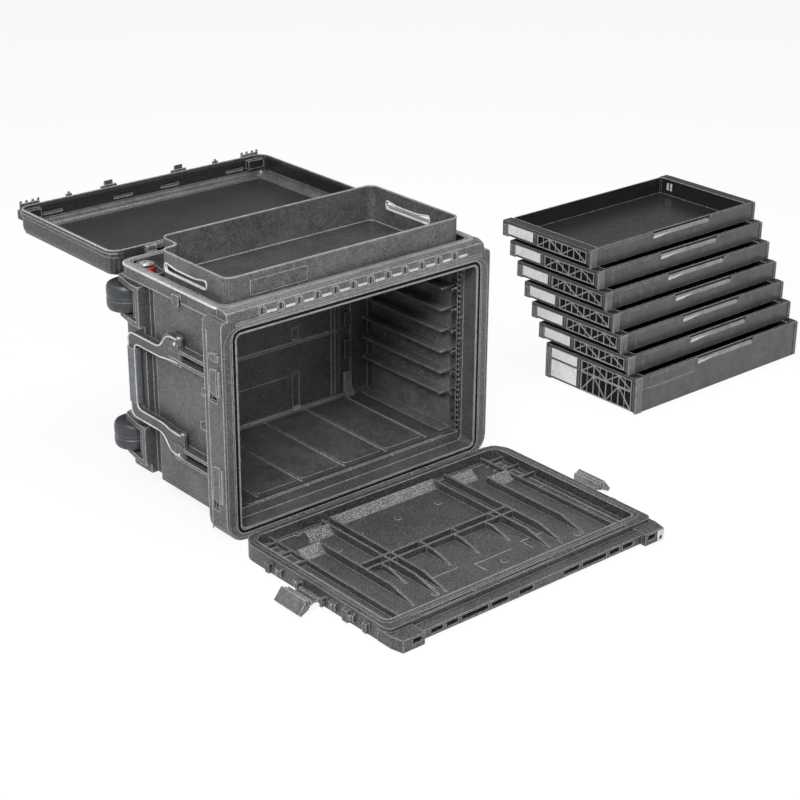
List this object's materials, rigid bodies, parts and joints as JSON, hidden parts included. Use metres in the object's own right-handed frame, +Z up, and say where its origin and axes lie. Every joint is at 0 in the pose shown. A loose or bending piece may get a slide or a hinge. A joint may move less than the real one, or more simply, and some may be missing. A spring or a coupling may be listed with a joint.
{
  "type": "tool case",
  "caption": "Wheeled hard tool case standing open, with hinged lid and front door, lift-out top tray, folding carry handles and a stepped stack of pull-out drawers.",
  "frame": {"origin": "middle of the front frame's underside on the floor, in the plane of the case's front rim", "axes": "+X to the right seen from the front, +Y from the front to the back, +Z up"},
  "size_m": [1.553, 1.2008, 0.4878],
  "materials": {
    "case_black": "moulded structural plastic, fine grain",
    "door_black": "moulded structural plastic, fine grain",
    "lid_black": "moulded structural plastic, fine grain",
    "tray_grey": "satin moulded plastic",
    "drawer_grey": "satin moulded plastic",
    "runner_black": "satin moulded plastic",
    "seal_rubber": "soft rubber",
    "grip_grey": "soft grip rubber",
    "wheel_grey": "solid rubber tread",
    "stainless_steel": "brushed stainless",
    "valve_red": "gloss moulding",
    "valve_silver": "bright machined"
  },
  "bodies": {
    "case": {"case_body": "case_black", "door_seal": "seal_rubber", "runner_rack_left": "runner_black", "runner_rack_right": "runner_black", "runner_clip_strip_left": "stainless_steel", "runner_clip_strip_right": "stainless_steel", "pull_handle_guide_upper": "case_black", "pull_handle_guide_lower": "case_black", "lid_hinge_pin_left": "stainless_steel", "lid_hinge_pin_right": "stainless_steel", "door_hinge_pin_left": "stainless_steel", "door_hinge_pin_right": "stainless_steel", "handle_pin_upper_left": "stainless_steel", "handle_pin_upper_right": "stainless_steel", "handle_pin_lower_left": "stainless_steel", "handle_pin_lower_right": "stainless_steel", "wheel_axle_upper": "stainless_steel", "wheel_axle_lower": "stainless_steel", "valve_collar": "valve_red", "valve_cap": "valve_silver"},
    "lid": {"lid_shell": "lid_black", "lid_padlock_plate": "stainless_steel"},
    "door": {"front_door": "door_black", "door_padlock_plate": "stainless_steel", "latch_pin_left": "stainless_steel", "latch_pin_right": "stainless_steel"},
    "left_link": {"latch_link_left": "case_black", "lever_pin_left": "stainless_steel"},
    "right_link": {"latch_link_right": "case_black", "lever_pin_right": "stainless_steel"},
    "left_lever": {"latch_lever_left": "case_black"},
    "right_lever": {"latch_lever_right": "case_black"},
    "tray": {"top_tray": "tray_grey"},
    "left_handle": {"side_handle_left": "case_black", "handle_grip_left": "grip_grey"},
    "right_handle": {"side_handle_right": "case_black", "handle_grip_right": "grip_grey"},
    "upper_wheel": {"wheel_upper": "wheel_grey"},
    "lower_wheel": {"wheel_lower": "wheel_grey"},
    "trolley_handle": {"pull_handle": "case_black"},
    "trolley_button": {"pull_handle_button": "grip_grey"},
    "shallow_drawer_1": {"drawer_1": "drawer_grey"},
    "shallow_drawer_2": {"drawer_2": "drawer_grey"},
    "shallow_drawer_3": {"drawer_3": "drawer_grey"},
    "shallow_drawer_4": {"drawer_4": "drawer_grey"},
    "shallow_drawer_5": {"drawer_5": "drawer_grey"},
    "shallow_drawer_6": {"drawer_6": "drawer_grey"},
    "deep_drawer": {"drawer_deep": "drawer_grey"}
  },
  "joints": [
    {"name": "lid_hinge", "type": "hinge", "parent": "case", "child": "lid", "pos_m": [0, 0.338, 0.449], "axis": [-1, 0, 0], "range_deg": [-180, 0]},
    {"name": "door_hinge", "type": "hinge", "parent": "case", "child": "door", "pos_m": [0, -0.042, 0.006], "axis": [1, 0, 0], "range_deg": [-90, 0]},
    {"name": "left_link_hinge", "type": "hinge", "parent": "door", "child": "left_link", "pos_m": [-0.32, -0.267, 0.014], "axis": [0, 1, 0], "range_deg": [0, 95]},
    {"name": "right_link_hinge", "type": "hinge", "parent": "door", "child": "right_link", "pos_m": [0.32, -0.267, 0.014], "axis": [0, -1, 0], "range_deg": [0, 95]},
    {"name": "left_lever_hinge", "type": "hinge", "parent": "left_link", "child": "left_lever", "pos_m": [-0.338, -0.267, 0.014], "axis": [0, 1, 0], "range_deg": [-110, 14]},
    {"name": "right_lever_hinge", "type": "hinge", "parent": "right_link", "child": "right_lever", "pos_m": [0.338, -0.267, 0.014], "axis": [0, -1, 0], "range_deg": [-110, 14]},
    {"name": "tray_lift", "type": "slide", "parent": "case", "child": "tray", "axis": [0, 0, 1], "range_m": [0, 0.2]},
    {"name": "left_handle_hinge", "type": "hinge", "parent": "case", "child": "left_handle", "pos_m": [-0.303, 0.125, 0.24], "axis": [0, 0, 1], "range_deg": [0, 90]},
    {"name": "right_handle_hinge", "type": "hinge", "parent": "case", "child": "right_handle", "pos_m": [0.303, 0.125, 0.24], "axis": [0, 0, -1], "range_deg": [0, 90]},
    {"name": "upper_wheel_spin", "type": "hinge", "parent": "case", "child": "upper_wheel", "pos_m": [-0.28, 0.331, 0.372], "axis": [0, 0, 1], "continuous": true},
    {"name": "lower_wheel_spin", "type": "hinge", "parent": "case", "child": "lower_wheel", "pos_m": [-0.28, 0.331, 0.093], "axis": [0, 0, 1], "continuous": true},
    {"name": "trolley_handle_slide", "type": "slide", "parent": "case", "child": "trolley_handle", "axis": [1, 0, 0], "range_m": [0, 0.35]},
    {"name": "trolley_button_press", "type": "slide", "parent": "trolley_handle", "child": "trolley_button", "axis": [-1, 0, 0], "range_m": [0, 0.004], "stiffness_N_per_m": 300, "springref_m": -0.003},
    {"name": "drawer_1_slide", "type": "slide", "parent": "case", "child": "shallow_drawer_1", "axis": [0, -1, 0], "range_m": [0, 0.24]},
    {"name": "drawer_2_slide", "type": "slide", "parent": "case", "child": "shallow_drawer_2", "axis": [0, -1, 0], "range_m": [0, 0.24]},
    {"name": "drawer_3_slide", "type": "slide", "parent": "case", "child": "shallow_drawer_3", "axis": [0, -1, 0], "range_m": [0, 0.24]},
    {"name": "drawer_4_slide", "type": "slide", "parent": "case", "child": "shallow_drawer_4", "axis": [0, -1, 0], "range_m": [0, 0.24]},
    {"name": "drawer_5_slide", "type": "slide", "parent": "case", "child": "shallow_drawer_5", "axis": [0, -1, 0], "range_m": [0, 0.24]},
    {"name": "drawer_6_slide", "type": "slide", "parent": "case", "child": "shallow_drawer_6", "axis": [0, -1, 0], "range_m": [0, 0.24]},
    {"name": "deep_drawer_slide", "type": "slide", "parent": "case", "child": "deep_drawer", "axis": [0, -1, 0], "range_m": [0, 0.24]}
  ]
}
